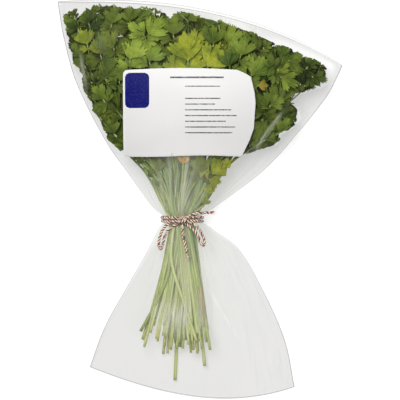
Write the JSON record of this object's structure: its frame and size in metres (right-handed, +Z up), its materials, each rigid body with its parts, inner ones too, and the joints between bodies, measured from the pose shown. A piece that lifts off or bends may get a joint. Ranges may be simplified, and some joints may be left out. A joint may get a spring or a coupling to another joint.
{
  "type": "parsley bunch",
  "caption": "Bunch of cut flat-leaf parsley lying on its back in a clear film sleeve, both gathered at the waist by a bow of twine, with a plain paper label on the front.",
  "frame": {"origin": "On the table under the middle of the sleeve's outline.", "axes": "+Z up off the table, +Y from the cut ends towards the leaf tips, +X to the right seen from the front with the tips up."},
  "size_m": [0.2144, 0.2993, 0.0506],
  "materials": {
    "film": "clear, slightly milky, glossy",
    "leaf": "soft leaf green with a faint sheen",
    "paper": "white coated paper, unprinted",
    "twine": "twisted cotton, red, white and brown"
  },
  "bodies": {
    "root": {"sleeve": "film", "leafy_stem_01": "leaf", "leafy_stem_02": "leaf", "leafy_stem_03": "leaf", "leafy_stem_04": "leaf", "leafy_stem_05": "leaf", "leafy_stem_06": "leaf", "leafy_stem_07": "leaf", "leafy_stem_08": "leaf", "leafy_stem_09": "leaf", "leafy_stem_10": "leaf", "leafy_stem_11": "leaf", "leafy_stem_12": "leaf", "leafy_stem_13": "leaf", "leafy_stem_14": "leaf", "leafy_stem_15": "leaf", "leafy_stem_16": "leaf", "leafy_stem_17": "leaf", "leafy_stem_18": "leaf", "leafy_stem_19": "leaf", "leafy_stem_20": "leaf", "leafy_stem_21": "leaf", "leafy_stem_22": "leaf", "leafy_stem_23": "leaf", "leafy_stem_24": "leaf", "label": "paper", "twine": "twine"}
  },
  "joints": []
}
